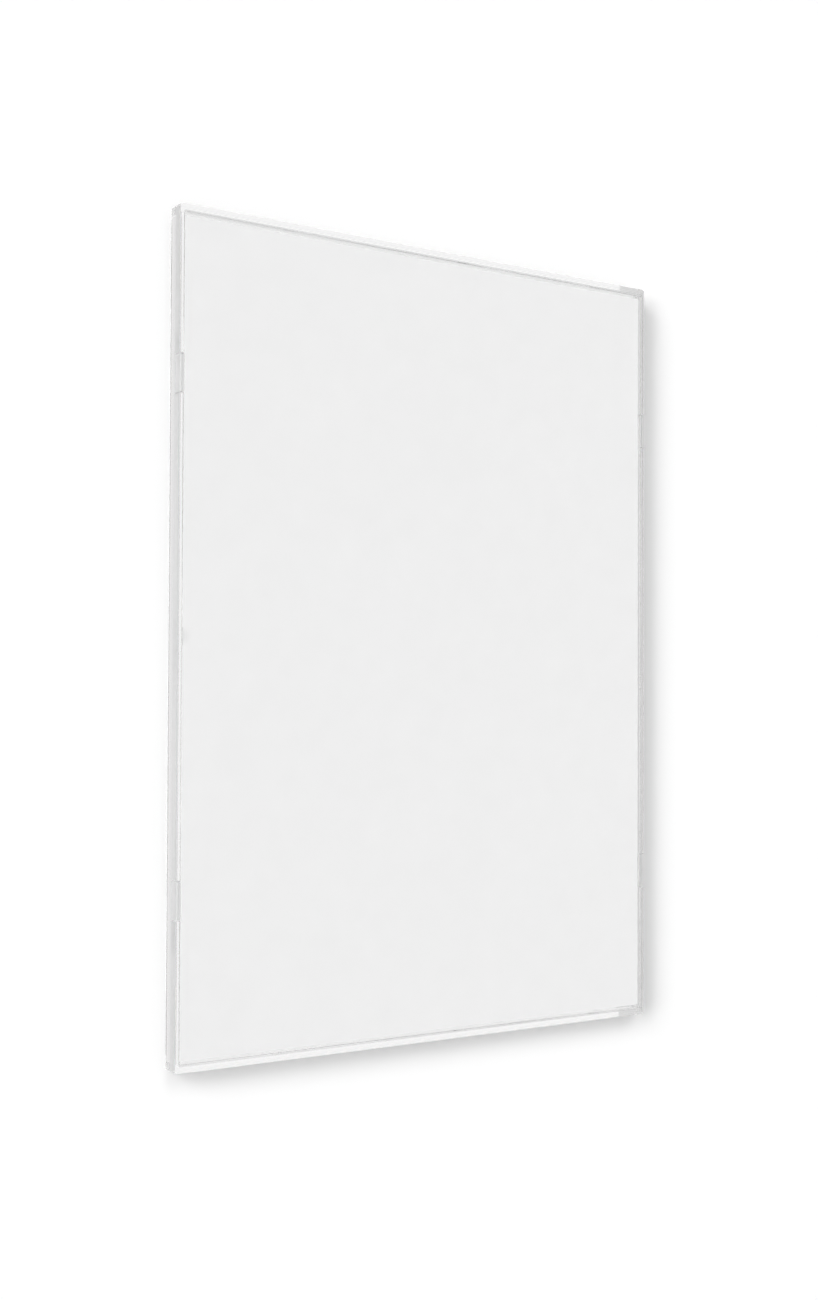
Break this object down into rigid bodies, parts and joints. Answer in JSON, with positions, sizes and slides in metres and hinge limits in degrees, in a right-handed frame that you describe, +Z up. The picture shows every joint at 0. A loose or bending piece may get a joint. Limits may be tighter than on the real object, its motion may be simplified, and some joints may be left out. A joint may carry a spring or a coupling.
{
  "type": "door sign holder",
  "caption": "Slim clear wall sign for a portrait A4 sheet: a moulded tray with a flush front pane that snaps on by side tabs, a blank insert between them, and foam pads behind.",
  "frame": {"origin": "middle of the wall plane, on the back of the tray's middle rest", "axes": "+X to the right and +Z up as the sign is read, +Y into the wall, so the front faces -Y"},
  "size_m": [0.215, 0.008, 0.305],
  "materials": {
    "clear_tray": "clear injection-moulded polystyrene, polished mould",
    "clear_pane": "clear injection-moulded polystyrene, polished mould",
    "insert_paper": "uncoated white card",
    "pad_foam": "white closed-cell foam with adhesive on both faces"
  },
  "bodies": {
    "tray": {"back_tray": "clear_tray", "foam_pad_upper_left": "pad_foam", "foam_pad_upper_right": "pad_foam", "foam_pad_lower_left": "pad_foam", "foam_pad_lower_right": "pad_foam"},
    "pane": {"front_pane": "clear_pane"},
    "sheet": {"insert_sheet": "insert_paper"}
  },
  "joints": [
    {"name": "pane_lift", "type": "slide", "parent": "tray", "child": "pane", "axis": [0, -1, 0], "range_m": [0, 0.05]},
    {"name": "sheet_lift", "type": "slide", "parent": "tray", "child": "sheet", "axis": [0, -1, 0], "range_m": [0, 0.025]}
  ],
  "couplings": [
    {"joint": "sheet_lift", "follows": "pane_lift", "ratio": 0.5}
  ]
}
